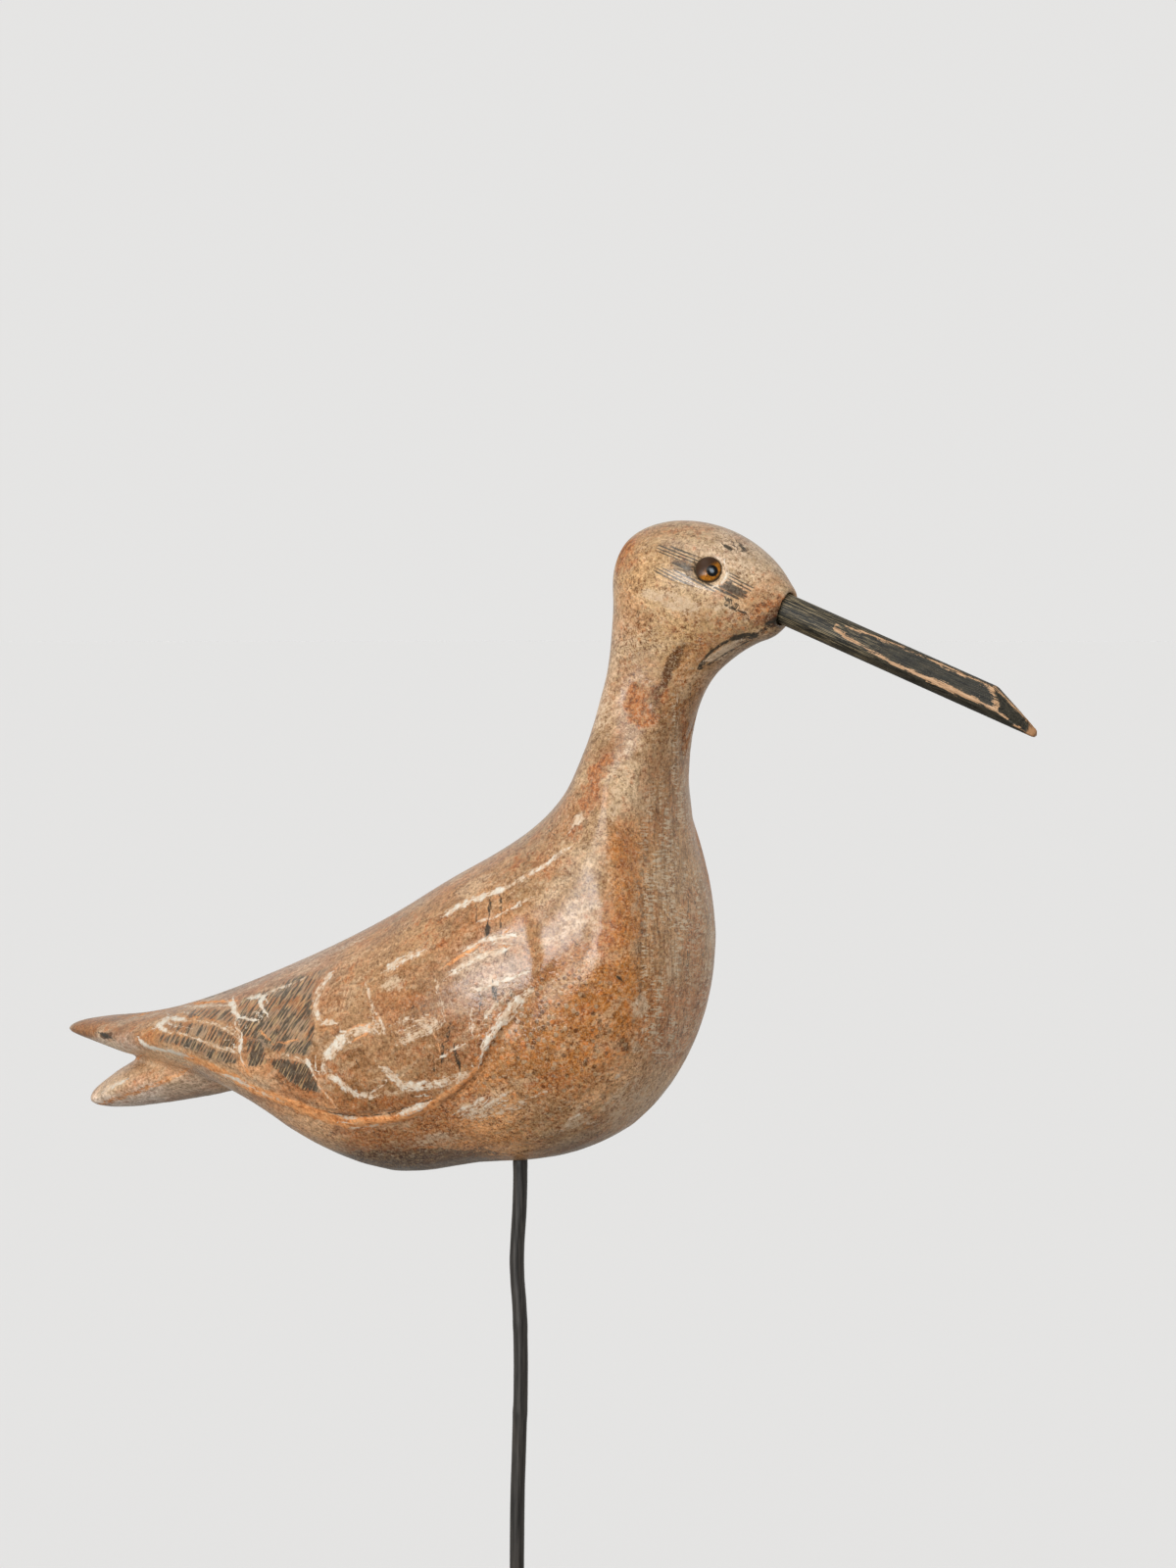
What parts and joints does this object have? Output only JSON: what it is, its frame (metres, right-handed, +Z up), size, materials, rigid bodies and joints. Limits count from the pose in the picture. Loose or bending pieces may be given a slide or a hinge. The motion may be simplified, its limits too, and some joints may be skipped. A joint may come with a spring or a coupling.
{
  "type": "shorebird decoy",
  "caption": "Carved and painted wooden shorebird decoy with a long bill and glass eyes, on a slim stick leg in a round wooden base.",
  "frame": {"origin": "centre of the base's flat underside", "axes": "+X the way the bird faces, +Y the bird's left side, +Z up"},
  "size_m": [0.3132, 0.12, 0.3788],
  "materials": {
    "painted_wood": "worn paint under satin varnish",
    "bill_wood": "charcoal paint worn through to bare wood on the edges",
    "eye_glass": "amber glass with a black pupil",
    "stick_wood": "dark brown, satin",
    "base_wood": "dark stain, waxed"
  },
  "bodies": {
    "root": {"bird_body": "painted_wood", "bill": "bill_wood", "right_eye": "eye_glass", "left_eye": "eye_glass", "leg_stick": "stick_wood", "base_block": "base_wood"}
  },
  "joints": []
}
